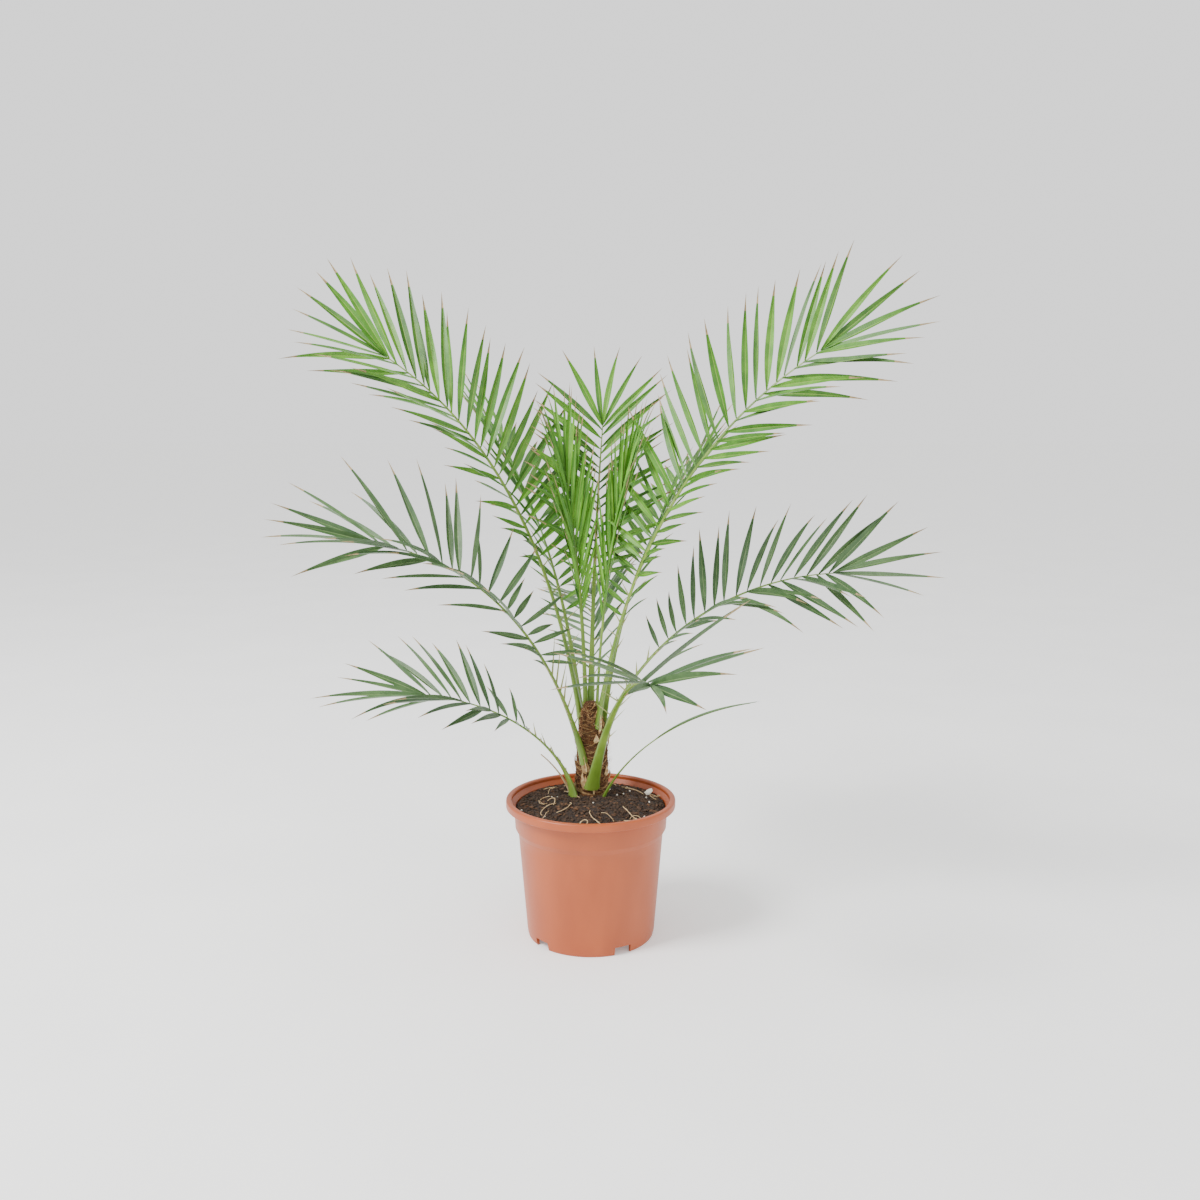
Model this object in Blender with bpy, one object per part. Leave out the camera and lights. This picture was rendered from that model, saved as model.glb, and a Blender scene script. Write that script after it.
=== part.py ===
"""Young Canary Island date palm in a round terracotta-coloured nursery pot.

Metres, +Z up. The pot's axis is the Z axis, its flat underside is z = 0, and the front faces -Y.
Each frond is a stalk, which is a tapering limb, and thin blades that fill the outline of its leaflets.
The stalk and the rib in the blade follow one curve, whose heading, rise and roll change along it.
"""

from dataclasses import dataclass
from math import cos, radians, sin

import bmesh
import bpy
import numpy as np
from mathutils import Matrix

SHARP_ANGLE = 40

# Pot
POT_HEIGHT = 0.158
POT_SIDES = 48
RIM_RADIUS = 0.095
RIM_INNER_RADIUS = 0.0884
LIP_HEIGHT = 0.009
LIP_ROUND = 0.0014
BAND_RADIUS_TOP = 0.0860
BAND_RADIUS_FOOT = 0.0848
BAND_HEIGHT = 0.024
BAND_STEP = 0.006
BODY_RADIUS_TOP = 0.0812
BODY_RADIUS_FOOT = 0.0722
POT_WALL = 0.0018
FLOOR_THICKNESS = 0.0025
FOOT_HEIGHT = 0.0095
FOOT_ROUND = 0.008
FOOT_ROUND_POINT = (0.3, 0.25)  # shares of the rounding outwards and upwards, for the point between its ends
FOOT_OUTER_RADIUS = 0.0702
FOOT_INNER_RADIUS = 0.0680
CENTRE_DISC_RADIUS = 0.044
NOTCH_BEARINGS = (-60.3, -138.3, 119.7, 41.7)
NOTCH_WIDTH = 0.0196
NOTCH_REACH = 0.016
DRAIN_HOLES = 8
DRAIN_HOLE_RADIUS = 0.004
DRAIN_CIRCLE_RADIUS = 0.056

# Compost and trunk
GAP = 0.0003
SOIL_TOP = 0.157
SOIL_EDGE = 0.1465
MOUND_RADIUS = 0.046
TRUNK_Y = 0.018
TRUNK_RADIUS = 0.0168
TRUNK_FLARE = 0.0022
TRUNK_TOP = 0.264
TRUNK_SIDES = 20
TRUNK_RINGS = 11
TRUNK_LEAN = 0.0015
FLARE_FADE = 9
TRUNK_TAPER = 0.12
TRUNK_TIP_TAPER = 0.62
TRUNK_TIP_POWER = 5
CUTTER_DEPTH = 0.02

# Fronds
BLADE_THICKNESS = 0.0022
BLADE_STEPS = 9
FAN_STEPS = 4
STALK_SIDES = 8
STALK_STEPS = 8
STALK_FLATNESS = 0.62  # thickness as a share of width
STRAP_HALF_WIDTH = 0.0042
STRAP_FOLD = 0.4
STRAP_END_WIDTH = 0.3  # share of the full width
STRAP_SKEW = 0.8
CURVE_STEPS = 160
SHORTEST_LEAFLET = 0.40  # the first leaflet's length as a share of the full length
WIDEST_ANGLE = 88.0
LOW_ANGLE_SPAN = 0.6  # share of the rib from its tip down to where low_angle holds
GROWTH_MIDDLE = 0.7
FAN_CLOSED = 0.96
FAN_REACH = 0.9  # the tip leaflet's length as a share of the inner row's


@dataclass
class Row:
    """One side's leaflets: their angle to the rib at 0.4 of its length and at its tip, and their lift."""

    low_angle: float
    tip_angle: float
    lift: float
    length: float
    ramp: float  # share of the rib over which they reach full length


@dataclass
class Frond:
    """A frond's seat on the trunk, the curve of its rib, and its two rows of leaflets; angles in degrees."""

    name: str
    seat: tuple  # bearing from the trunk's axis, distance from it, height
    heading: tuple  # at the foot and at the tip
    rise: tuple  # above level, at the foot and at the tip
    bend: float  # power of the change of rise along the rib
    length: float
    roll: tuple  # about the rib, at the foot and at the tip
    inner: Row
    outer: Row
    hand: int  # side of the inner row: 1 for a frond that heads left, -1 for right
    growth: float  # change of leaflet length along the rib
    blade_from: float  # share of the rib where the leaflets start
    stalk: tuple  # half width at the foot and half width where the leaflets start
    pieces: int = 2  # blades that the frond is split into at its bend


FRONDS = (
    Frond("frond_left_top", (151, 0.0125, 0.245), (150, 163), (78, 31), 1.43, 0.488, (-17, 51),
          Row(67, 27, 19.5, 0.144, 0.08), Row(76, 47, 21, 0.118, 0.45), 1, 0.06, 0.37, (0.0060, 0.0026)),
    Frond("frond_right_top", (-57, 0.0120, 0.236), (-20, -19), (80, 31), 1.39, 0.492, (-32, -57),
          Row(80, 38, 19, 0.121, 0.18), Row(62, 36, 5, 0.123, 0.50), -1, -0.05, 0.36, (0.0058, 0.0026)),
    Frond("frond_left_middle", (248, 0.0162, 0.1975), (204, 200), (73, 10), 1.52, 0.359, (46, 21),
          Row(118, 34, 20, 0.119, 0.50), Row(52, 39, 9.5, 0.121, 0.25), 1, -0.11, 0.33, (0.0068, 0.0026)),
    Frond("frond_right_middle", (0, 0.0160, 0.2300), (19, -18), (67, 5), 0.94, 0.329, (-3, -40),
          Row(72, 43, 18, 0.110, 0.20), Row(63, 54, 15, 0.118, 0.25), -1, 0.03, 0.32, (0.0052, 0.0024)),
    Frond("frond_left_low", (220, 0.0247, 0.1573), (190, 187), (89, 6), 0.60, 0.216, (-12, 28),
          Row(83, 40, 9, 0.106, 0.25), Row(84, 39, 14, 0.121, 0.40), 1, -0.07, 0.44, (0.0072, 0.0020), 1),
    Frond("frond_front_low", (-86, 0.0176, 0.1690), (-61, -78), (69, 0), 1.43, 0.253, (6, -12),
          Row(76, 35, 25, 0.138, 0.05), Row(75, 44, 26, 0.137, 0.05), -1, 0.09, 0.80, (0.0076, 0.0028), 1),
    Frond("frond_back_top", (94, 0.0085, 0.2480), (80, 78), (83, 70), 1.26, 0.333, (-11, 3),
          Row(74, 47, 14, 0.101, 0.12), Row(63, 53, 18, 0.101, 0.12), 1, -0.08, 0.45, (0.0040, 0.0022), 1),
    Frond("frond_back_left", (118, 0.0150, 0.2050), (116, 128), (77, 36), 1.30, 0.410, (0, -40),
          Row(66, 36, 16, 0.100, 0.30), Row(62, 36, 16, 0.108, 0.45), 1, 0.0, 0.38, (0.0060, 0.0025)),
    Frond("frond_back_right", (52, 0.0155, 0.1950), (62, 52), (77, 28), 1.30, 0.400, (0, 42),
          Row(66, 36, 16, 0.100, 0.30), Row(62, 36, 16, 0.104, 0.45), -1, 0.0, 0.40, (0.0060, 0.0025)),
    Frond("frond_back_low", (88, 0.0168, 0.1760), (88, 92), (70, 4), 1.20, 0.290, (10, 34),
          Row(70, 36, 20, 0.098, 0.25), Row(66, 36, 20, 0.098, 0.30), 1, 0.0, 0.42, (0.0064, 0.0024), 1),
    Frond("young_frond_left", (144, 0.0070, 0.2560), (120, 120), (87, 70), 1.35, 0.258, (-3, 13),
          Row(18, 12, 30, 0.115, 0.20), Row(18, 13, 30, 0.106, 0.20), 1, -0.05, 0.40, (0.0032, 0.0022), 1),
    Frond("young_frond_right", (-5, 0.0065, 0.2560), (14, 14), (87, 77), 1.37, 0.246, (2, -44),
          Row(15, 7, 29, 0.104, 0.20), Row(18, 13, 28, 0.108, 0.20), -1, -0.06, 0.40, (0.0032, 0.0022), 1),
)

NO_LEAFLETS = Row(0, 0, 0, 0, 1)
STRAP_LEAF = Frond("strap_leaf", (-55, 0.0240, 0.1573), (-20, -20), (67, 13.5), 0.75, 0.213, (0, 0),
                   NO_LEAFLETS, NO_LEAFLETS, -1, 0.0, 0.45, (0.0030, 0.0014), 1)
OLD_STUB = Frond("old_leaf", (176, 0.0232, 0.1573), (176, 184), (66, 40), 1.0, 0.056, (0, 0),
                 NO_LEAFLETS, NO_LEAFLETS, 1, 0.0, 1.0, (0.0028, 0.0012), 0)


def clear_scene():
    for obj in list(bpy.data.objects):
        bpy.data.objects.remove(obj, do_unlink=True)


def linear(hex_colour):
    """sRGB hex colour to linear RGBA."""
    parts = [int(hex_colour[i : i + 2], 16) / 255 for i in (0, 2, 4)]
    return [c / 12.92 if c <= 0.04045 else ((c + 0.055) / 1.055) ** 2.4 for c in parts] + [1.0]


def finish(name, hex_colour, roughness):
    """A plain dielectric material of one colour."""
    material = bpy.data.materials.new(name)
    material.use_nodes = True
    shader = material.node_tree.nodes["Principled BSDF"]
    shader.inputs["Base Color"].default_value = linear(hex_colour)
    shader.inputs["Roughness"].default_value = roughness
    shader.inputs["Metallic"].default_value = 0.0
    return material


def add_mesh(name, points, faces, material):
    """A mesh object at the origin, with its faces turned outwards."""
    mesh = bpy.data.meshes.new(name)
    mesh.from_pydata([tuple(map(float, point)) for point in points], [], faces)
    work = bmesh.new()
    work.from_mesh(mesh)
    bmesh.ops.recalc_face_normals(work, faces=work.faces)
    work.to_mesh(mesh)
    work.free()
    mesh.shade_smooth()
    mesh.set_sharp_from_angle(angle=radians(SHARP_ANGLE))
    if material:
        mesh.materials.append(material)
    obj = bpy.data.objects.new(name, mesh)
    bpy.context.scene.collection.objects.link(obj)
    return obj


def turned(name, profile, sides, material):
    """The solid that a loop of (radius, height) points sweeps about the Z axis.

    The last point joins the first, and a point on the axis becomes one vertex.
    """
    turn = np.linspace(0, 2 * np.pi, sides, endpoint=False)
    points, rings = [], []
    for radius, height in profile:
        count = 1 if radius == 0 else sides
        rings.append(range(len(points), len(points) + count))
        angles = turn[:count]
        points += list(zip(radius * np.cos(angles), radius * np.sin(angles), [height] * count))
    faces = []
    for upper, lower in zip(rings, rings[1:] + rings[:1]):
        high, low = len(upper), len(lower)
        if high == low == 1:
            continue
        for i in range(sides):
            j = (i + 1) % sides
            corners = [upper[i % high], lower[i % low], lower[j % low], upper[j % high]]
            faces.append(list(dict.fromkeys(corners)))
    return add_mesh(name, points, faces, material)


def lofted(name, sections, material):
    """A closed tube through equal rings of points, with flat ends."""
    count = len(sections[0])
    points = np.concatenate(sections)
    faces = []
    for row in range(len(sections) - 1):
        for i in range(count):
            j = (i + 1) % count
            faces.append((row * count + i, row * count + j, (row + 1) * count + j, (row + 1) * count + i))
    faces.append(tuple(range(count)))
    faces.append(tuple(range(len(points) - count, len(points))))
    return add_mesh(name, points, faces, material)


def cut(obj, cutter):
    """Takes the cutter's shape out of the object, and keeps the cutter out of the model."""
    modifier = obj.modifiers.new("cut by " + cutter.name, "BOOLEAN")
    modifier.operation = "DIFFERENCE"
    modifier.solver = "EXACT"
    modifier.object = cutter
    cutter.hide_render = True
    cutter.display_type = "WIRE"


def rib(frond, shares):
    """Points, tangents, sideways and upward directions of a frond's rib at shares of its length.

    The tangent has the heading and rise at each share, the curve is its running sum, and roll turns
    the sideways and upward directions about it.
    """
    fine = np.linspace(0, 1, CURVE_STEPS + 1)

    def direction(s):
        heading = np.radians(frond.heading[0] + (frond.heading[1] - frond.heading[0]) * s)
        rise = np.radians(frond.rise[0] + (frond.rise[1] - frond.rise[0]) * s**frond.bend)
        along = np.stack([np.cos(rise) * np.cos(heading), np.cos(rise) * np.sin(heading), np.sin(rise)], -1)
        return heading, along

    _, along = direction(fine)
    steps = (along[1:] + along[:-1]) / 2 * frond.length / CURVE_STEPS
    bearing, reach, height = frond.seat
    foot = np.array([reach * cos(radians(bearing)), TRUNK_Y + reach * sin(radians(bearing)), height])
    curve = foot + np.vstack([np.zeros(3), np.cumsum(steps, axis=0)])
    places = np.stack([np.interp(shares, fine, curve[:, axis]) for axis in range(3)], -1)
    heading, tangent = direction(shares)
    level = np.stack([np.sin(heading), -np.cos(heading), 0 * heading], -1)
    over = np.cross(level, tangent)
    roll = np.radians(frond.roll[0] + (frond.roll[1] - frond.roll[0]) * shares)[:, None]
    sideways = np.cos(roll) * level + np.sin(roll) * over
    upward = np.cos(roll) * over - np.sin(roll) * level
    return places, tangent, sideways, upward


def leaflet_ends(frond, row, side, shares, fold):
    """Where one row's leaflets end. Fold takes their angle to the rib down to 0 for the fan at the tip."""
    places, tangent, sideways, upward = rib(frond, shares)
    angle = row.tip_angle + (row.low_angle - row.tip_angle) * (1 - shares) / LOW_ANGLE_SPAN
    angle = np.radians(np.minimum(angle, WIDEST_ANGLE) * (1 - fold))[:, None]
    lift = radians(row.lift)
    aside = side * frond.hand * cos(lift) * sideways + sin(lift) * upward
    ramp = np.clip(SHORTEST_LEAFLET + (1 - SHORTEST_LEAFLET) * (shares - frond.blade_from) / row.ramp, 0, 1)
    length = (row.length * (1 + frond.growth * (shares - GROWTH_MIDDLE)) * ramp)[:, None]
    return places + length * (np.cos(angle) * tangent + np.sin(angle) * aside)


def sheet_normals(rows):
    """Unit normals of the surface through a grid of points."""
    normal = np.cross(np.gradient(rows, axis=0), np.gradient(rows, axis=1))
    return normal / np.linalg.norm(normal, axis=2, keepdims=True)


def sheet_solid(name, rows, normals, material):
    """A closed thin solid about a grid of points, half its thickness to each side along the normals."""
    count, width = rows.shape[:2]
    top = (rows + normals * BLADE_THICKNESS / 2).reshape(-1, 3)
    bottom = (rows - normals * BLADE_THICKNESS / 2).reshape(-1, 3)
    half = count * width
    faces = []
    for i in range(count - 1):
        for j in range(width - 1):
            a, b, c, d = i * width + j, i * width + j + 1, (i + 1) * width + j + 1, (i + 1) * width + j
            faces += [(a, b, c), (a, c, d), (half + a, half + c, half + b), (half + a, half + d, half + c)]
    edge = list(range(width))
    edge += [i * width + width - 1 for i in range(1, count)]
    edge += [(count - 1) * width + j for j in range(width - 2, -1, -1)]
    edge += [i * width for i in range(count - 2, 0, -1)]
    for a, b in zip(edge, edge[1:] + edge[:1]):
        low, high = sorted((a, b))
        faces += [(low, high, half + high), (low, half + high, half + low)]
    return add_mesh(name, np.vstack([top, bottom]), faces, material)


def blade_rows(frond):
    """Rows of three points across a frond's blade, from its first leaflets to the fan at its tip."""
    fan = np.linspace(0, FAN_CLOSED, FAN_STEPS + 1)[1:]
    shares = np.linspace(frond.blade_from, 1, frond.pieces * BLADE_STEPS + 1)
    fold = np.append(np.zeros(len(shares)), fan)
    shares = np.append(shares, np.ones(FAN_STEPS))
    middle, tangent, _, _ = rib(frond, shares)
    middle = middle + tangent * (frond.inner.length * FAN_REACH * fold)[:, None]
    inner = leaflet_ends(frond, frond.inner, 1, shares, fold)
    outer = leaflet_ends(frond, frond.outer, -1, shares, fold)
    return np.stack([outer, middle, inner], axis=1)


def add_blades(frond, material):
    """The thin blade over a frond's leaflets, in equal pieces that part by the gap at the rib's bend."""
    rows = blade_rows(frond)
    normals = sheet_normals(rows)
    last = len(rows) - 1
    cuts = [number * BLADE_STEPS for number in range(frond.pieces)] + [last]
    for number, (start, end) in enumerate(zip(cuts, cuts[1:]), 1):
        piece = rows[start : end + 1].copy()
        if start > 0:
            piece[0] += GAP / 2 * unit(rows[start + 1] - rows[start])
        if end < last:
            piece[-1] -= GAP / 2 * unit(rows[end] - rows[end - 1])
        sheet_solid(f"{frond.name}_blade_{number}", piece, normals[start : end + 1], material)


def unit(vectors):
    return vectors / np.linalg.norm(vectors, axis=-1, keepdims=True)


def add_stalk(frond, material, cutters):
    """The tapering stalk, an ellipse in section, from its seat to a gap short of the first leaflets."""
    end = frond.blade_from - GAP / frond.length
    shares = np.linspace(0, end, STALK_STEPS)
    places, _, sideways, upward = rib(frond, shares)
    half_width = frond.stalk[1] + (frond.stalk[0] - frond.stalk[1]) * (1 - shares / end) ** 2
    turn = np.linspace(0, 2 * np.pi, STALK_SIDES, endpoint=False)
    sections = [
        place + w * (np.outer(np.cos(turn), side) + STALK_FLATNESS * np.outer(np.sin(turn), up))
        for place, w, side, up in zip(places, half_width, sideways, upward)
    ]
    limb = lofted(frond.name + "_stalk", sections, material)
    for cutter in cutters:
        cut(limb, cutter)


def add_strap_blade(frond, material):
    """The seedling's one undivided leaf, a narrow folded strap that is widest at its middle."""
    places, _, sideways, upward = rib(frond, np.linspace(frond.blade_from, 1, BLADE_STEPS))
    share = np.linspace(0, 1, BLADE_STEPS)
    swell = np.sin(np.pi * share**STRAP_SKEW)[:, None]
    half_width = STRAP_HALF_WIDTH * (STRAP_END_WIDTH + (1 - STRAP_END_WIDTH) * swell)
    edges = [places + half_width * (side * sideways + STRAP_FOLD * upward) for side in (-1, 1)]
    rows = np.stack([edges[0], places, edges[1]], axis=1)
    sheet_solid(frond.name + "_blade", rows, sheet_normals(rows), material)


def pot_profile():
    """The pot's section as one loop: down the outside, under the foot, and up the inside."""
    lip_foot = POT_HEIGHT - LIP_HEIGHT
    band_foot = lip_foot - BAND_HEIGHT
    body_top = band_foot - BAND_STEP
    inner_floor = FOOT_HEIGHT + FLOOR_THICKNESS
    round_out, round_up = FOOT_ROUND_POINT
    outside = [
        (RIM_INNER_RADIUS + LIP_ROUND, POT_HEIGHT),
        (RIM_RADIUS - LIP_ROUND, POT_HEIGHT),
        (RIM_RADIUS, POT_HEIGHT - LIP_ROUND),
        (RIM_RADIUS, lip_foot + LIP_ROUND / 2),
        (RIM_RADIUS - LIP_ROUND / 2, lip_foot),
        (BAND_RADIUS_TOP, lip_foot),
        (BAND_RADIUS_FOOT, band_foot),
        (BODY_RADIUS_TOP, body_top),
        (BODY_RADIUS_FOOT, FOOT_ROUND),
        (FOOT_OUTER_RADIUS + round_out * (BODY_RADIUS_FOOT - FOOT_OUTER_RADIUS), FOOT_ROUND * round_up),
        (FOOT_OUTER_RADIUS, 0.0),
    ]
    underside = [
        (FOOT_INNER_RADIUS, 0.0),
        (FOOT_INNER_RADIUS, FOOT_HEIGHT),
        (CENTRE_DISC_RADIUS + FLOOR_THICKNESS / 2, FOOT_HEIGHT),
        (CENTRE_DISC_RADIUS, 0.0),
        (0.0, 0.0),
    ]
    inside = [
        (0.0, FLOOR_THICKNESS),
        (CENTRE_DISC_RADIUS - FLOOR_THICKNESS, FLOOR_THICKNESS),
        (CENTRE_DISC_RADIUS - FLOOR_THICKNESS / 2, inner_floor),
        (BODY_RADIUS_FOOT - POT_WALL, inner_floor),
        (BODY_RADIUS_TOP - POT_WALL, body_top),
        (BAND_RADIUS_FOOT - POT_WALL, band_foot),
        (BAND_RADIUS_TOP - POT_WALL, lip_foot),
        (RIM_INNER_RADIUS, POT_HEIGHT - LIP_ROUND),
    ]
    return outside + underside + inside


def add_pot():
    """The pot, with four notches through its foot ring and drain holes in its raised channel."""
    plastic = finish("terracotta polypropylene", "c4693f", 0.42)
    pot = turned("pot", pot_profile(), POT_SIDES, plastic)
    for number, bearing in enumerate(NOTCH_BEARINGS):
        reach = (FOOT_INNER_RADIUS + BODY_RADIUS_FOOT) / 2
        bpy.ops.mesh.primitive_cube_add(size=1, location=(0, 0, 0))
        notch = bpy.context.object
        notch.name = f"notch_cutter_{number}"
        notch.data.transform(Matrix.Diagonal((NOTCH_REACH, NOTCH_WIDTH, 2 * (FOOT_HEIGHT - GAP), 1)))
        notch.location = (reach * cos(radians(bearing)), reach * sin(radians(bearing)), 0)
        notch.rotation_euler[2] = radians(bearing)
        cut(pot, notch)
    for number in range(DRAIN_HOLES):
        bearing = 2 * np.pi * (number + 0.5) / DRAIN_HOLES
        bpy.ops.mesh.primitive_cylinder_add(
            vertices=12,
            radius=DRAIN_HOLE_RADIUS,
            depth=4 * FLOOR_THICKNESS,
            location=(
                DRAIN_CIRCLE_RADIUS * cos(bearing),
                DRAIN_CIRCLE_RADIUS * sin(bearing),
                FOOT_HEIGHT + FLOOR_THICKNESS / 2,
            ),
        )
        hole = bpy.context.object
        hole.name = f"drain_cutter_{number}"
        cut(pot, hole)


def add_soil():
    """The compost: it fills the pot, with a low flat mound where the palm stands."""
    compost = finish("peat compost", "2b2019", 0.95)
    lip_foot = POT_HEIGHT - LIP_HEIGHT
    band_foot = lip_foot - BAND_HEIGHT
    wall = POT_WALL + GAP
    slope = (BAND_RADIUS_TOP - BAND_RADIUS_FOOT) / BAND_HEIGHT
    edge_radius = BAND_RADIUS_FOOT + slope * (SOIL_EDGE - band_foot) - wall
    inner_floor = FOOT_HEIGHT + FLOOR_THICKNESS + GAP
    profile = [
        (0.0, SOIL_TOP),
        (MOUND_RADIUS, SOIL_TOP),
        ((MOUND_RADIUS + edge_radius) / 2, (SOIL_TOP + 2 * SOIL_EDGE) / 3),
        (edge_radius, SOIL_EDGE),
        (BAND_RADIUS_FOOT - wall, band_foot),
        (BODY_RADIUS_TOP - wall, band_foot - BAND_STEP),
        (BODY_RADIUS_FOOT - wall, inner_floor),
        (CENTRE_DISC_RADIUS - FLOOR_THICKNESS - GAP, inner_floor),
        (CENTRE_DISC_RADIUS - 1.5 * FLOOR_THICKNESS - GAP, FLOOR_THICKNESS + GAP),
        (0.0, FLOOR_THICKNESS + GAP),
    ]
    turned("soil", profile, POT_SIDES, compost)


def trunk_radius(share):
    """The trunk's radius at a share of its height: flared at the foot, drawn in to a blunt tip."""
    flare = TRUNK_FLARE * np.exp(-share * FLARE_FADE)
    taper = TRUNK_RADIUS * (1 - TRUNK_TAPER * share - TRUNK_TIP_TAPER * share**TRUNK_TIP_POWER)
    return flare + taper


def add_trunk(name, material, grow):
    """The short fibrous trunk, grown by the given amount all over where it serves as a cutter."""
    share = np.linspace(0, 1, TRUNK_RINGS)
    foot = SOIL_TOP + GAP - grow
    heights = foot + (TRUNK_TOP + grow - foot) * share
    turn = np.linspace(0, 2 * np.pi, TRUNK_SIDES, endpoint=False)
    sections = []
    for s, height in zip(share, heights):
        radius = trunk_radius(s) + grow
        x = TRUNK_LEAN * sin(np.pi * s) + radius * np.cos(turn)
        y = TRUNK_Y + radius * np.sin(turn)
        sections.append(np.stack([x, y, np.full(TRUNK_SIDES, height)], -1))
    return lofted(name, sections, material)


def add_soil_cutter():
    """A disc whose top lies a gap above the mound, for the stalks that stand on it."""
    place = (0, 0, SOIL_TOP + GAP - CUTTER_DEPTH / 2)
    bpy.ops.mesh.primitive_cylinder_add(
        vertices=24, radius=MOUND_RADIUS, depth=CUTTER_DEPTH, location=place
    )
    cutter = bpy.context.object
    cutter.name = "soil_cutter"
    return cutter


def main():
    clear_scene()
    add_pot()
    add_soil()
    add_trunk("trunk", finish("palm trunk fibre", "5b3d26", 0.9), 0.0)
    cutters = (add_trunk("trunk_cutter", None, GAP), add_soil_cutter())
    green_stalk = finish("palm stalk", "7d9a35", 0.45)
    green_blade = finish("palm leaflet", "5f8a35", 0.5)
    for frond in FRONDS:
        add_stalk(frond, green_stalk, cutters)
        add_blades(frond, green_blade)
    add_stalk(STRAP_LEAF, green_stalk, cutters)
    add_strap_blade(STRAP_LEAF, green_blade)
    add_stalk(OLD_STUB, green_stalk, cutters)


main()
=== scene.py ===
"""Looks of a young Canary Island date palm in a round terracotta-coloured nursery pot.

Metres, +Z up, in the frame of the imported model. Every shape is an array of points worked out at once:
a frond's rib is a curve whose heading, rise and roll change along it, leaflets are folded ribbons that
leave it at a changing angle, and stalks, spines and roots are tubes carried along paths.
"""

from dataclasses import dataclass
from math import cos, pi, radians, sin

import bmesh
import bpy
import numpy as np
from mathutils import Matrix, Vector


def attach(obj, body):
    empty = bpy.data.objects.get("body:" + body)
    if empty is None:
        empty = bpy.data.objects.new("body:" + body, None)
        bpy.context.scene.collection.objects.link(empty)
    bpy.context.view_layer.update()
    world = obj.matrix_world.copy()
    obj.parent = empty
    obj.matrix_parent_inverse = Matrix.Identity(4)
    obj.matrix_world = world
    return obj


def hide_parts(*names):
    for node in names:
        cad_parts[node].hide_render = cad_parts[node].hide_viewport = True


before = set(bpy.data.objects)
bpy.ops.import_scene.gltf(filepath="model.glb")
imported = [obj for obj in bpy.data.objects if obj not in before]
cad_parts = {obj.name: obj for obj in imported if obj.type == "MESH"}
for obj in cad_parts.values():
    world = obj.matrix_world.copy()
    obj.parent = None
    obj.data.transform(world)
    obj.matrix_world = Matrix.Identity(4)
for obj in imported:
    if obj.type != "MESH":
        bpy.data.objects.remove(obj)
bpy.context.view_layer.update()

MM = 0.001
rng = np.random.default_rng(1927)

# Photograph: 1200 x 1200 pixels, from a camera without roll that looks 8.6 degrees down
IMAGE_MIDDLE = 600
FOCAL_PIXELS = 1187
SENSOR_MM = 36
CAMERA_PLACE = np.array([0.0104, -1.2854, 0.5759])
CAMERA_PITCH = radians(8.6)

# Stage
PLANT_MIDDLE = 0.38
SURROUND_LIGHT = 1.25
SURROUND_SEEN = 1.42
FLOOR_GLOW = 0.25
FLOOR_SIZE = 60
KEY_LIGHT = ((-1.9, -1.1, 2.5), 1.0, 135)  # place, width and watts
FILL_LIGHT = ((2.2, -1.8, 1.6), 2.4, 16)

# Pot
POT_HEIGHT = 0.158
POT_SIDES = 224
RIM_RADIUS = 0.095
RIM_INNER_RADIUS = 0.0884
LIP_HEIGHT = 0.009
LIP_ROUND = 0.0022
BAND_RADIUS_TOP = 0.0860
BAND_RADIUS_FOOT = 0.0848
BAND_HEIGHT = 0.024
BAND_STEP = 0.006
BODY_RADIUS_TOP = 0.0812
BODY_RADIUS_FOOT = 0.0722
POT_WALL = 0.0018
FLOOR_THICKNESS = 0.0025
FOOT_HEIGHT = 0.0095
FOOT_ROUND = 0.008
FOOT_OUTER_RADIUS = 0.0702
FOOT_INNER_RADIUS = 0.0680
CENTRE_DISC_RADIUS = 0.044
NOTCH_BEARINGS = (-60.3, -138.3, 119.7, 41.7)
NOTCH_SIZE = (0.016, 0.0196, 0.0184)  # along the radius, across it, and up through the floor plane
DRAIN_HOLES = 8
DRAIN_HOLE_RADIUS = 0.004
DRAIN_CIRCLE_RADIUS = 0.056
DRAIN_CUTTER_DEPTH = 0.012
POT_SHARP_ANGLE = 35
EDGE_BREAK = 0.0008
BAND_EDGE = (0.0004, 0.001)  # how far the band's lower edge is broken, inwards and upwards
WALL_HEIGHT = 0.1  # of the even stretch above the rounded foot
WALL_RINGS = 14
FOOT_CURVE = (0.75, 0.5, 0.28, 0.12, 0.0)  # heights on the rounded foot, in shares of its own height
DRAIN_HOLE_SIDES = 24

# Compost and trunk
SOIL_TOP = 0.157
SOIL_EDGE = 0.1465
SOIL_EDGE_RADIUS = 0.0838
MOUND_RADIUS = 0.046
TRUNK_Y = 0.018
TRUNK_RADIUS = 0.0168
TRUNK_FLARE = 0.0022
TRUNK_TOP = 0.264
TRUNK_LEAN = 0.0015
TRUNK_FOOT = 0.1573
FLARE_FADE = 9
TRUNK_TAPER = 0.12
TRUNK_TIP_TAPER = 0.62
TRUNK_TIP_POWER = 5
TRUNK_RINGS = 150
TRUNK_SIDES = 160
SCALE_TURNS = 8  # turns of the spiral of leaf bases from foot to tip
SCALE_LIFT = 1.1 * MM
SCALE_LOBES = 2.5  # half the number of scales in one turn
SCALE_SHIFT = 1.3  # their phase, in radians, from one turn of the spiral to the next
SCALE_LOWEST = 0.4  # lift between two scales against the lift at their middles
BARK_HEIGHT, BARK_SIZE = 0.7 * MM, 4 * MM
STRAND_HEIGHT, STRAND_SIZE = 0.4 * MM, 3 * MM
STRAND_SQUEEZE = 4
RELIEF_SPAN = 0.1  # height over which the relief's pattern is laid
SOIL_RINGS = 74
SOIL_SIDES = 220
SOIL_SKIN = 1.6 * MM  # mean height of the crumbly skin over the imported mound
SKIN_TUCK = 0.001  # how far the skin's edge ends below the mound's
CLOD_HEIGHT, CLOD_SIZE = 0.9 * MM, 16 * MM
GRAIN_HEIGHT, GRAIN_SIZE = 0.6 * MM, 4.5 * MM
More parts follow.
